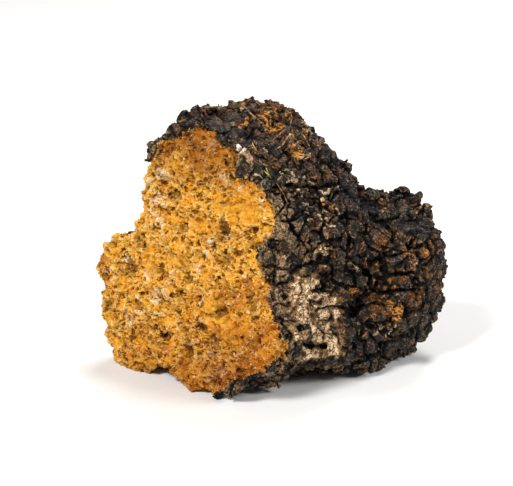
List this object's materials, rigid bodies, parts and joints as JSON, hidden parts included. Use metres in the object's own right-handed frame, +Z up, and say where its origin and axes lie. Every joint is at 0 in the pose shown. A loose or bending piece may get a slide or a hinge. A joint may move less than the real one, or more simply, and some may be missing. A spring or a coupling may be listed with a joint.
{
  "type": "chaga mushroom",
  "caption": "Broken-off chaga conk: a flat, golden-orange corky break on one side and a lobed black crust, cracked into blocks like charcoal, on the others. It lies on its crust.",
  "frame": {"origin": "on the surface it rests on, under the middle of its bounding box", "axes": "+X to the right along its longest extent, +Y away from the viewer of the picture, +Z up; the break faces -Y, turned 41 degrees to -X and leaning back 6 degrees"},
  "size_m": [0.1446, 0.0968, 0.1107],
  "materials": {
    "crust": "charcoal-like cracked rind, matt with a faint sheen on broken faces",
    "heart": "dry, corky and porous, golden orange with pale flecks, matt",
    "bark": "pale shreds of birch bark and dried mycelium, matt"
  },
  "bodies": {
    "root": {"chaga": "crust"}
  },
  "joints": []
}
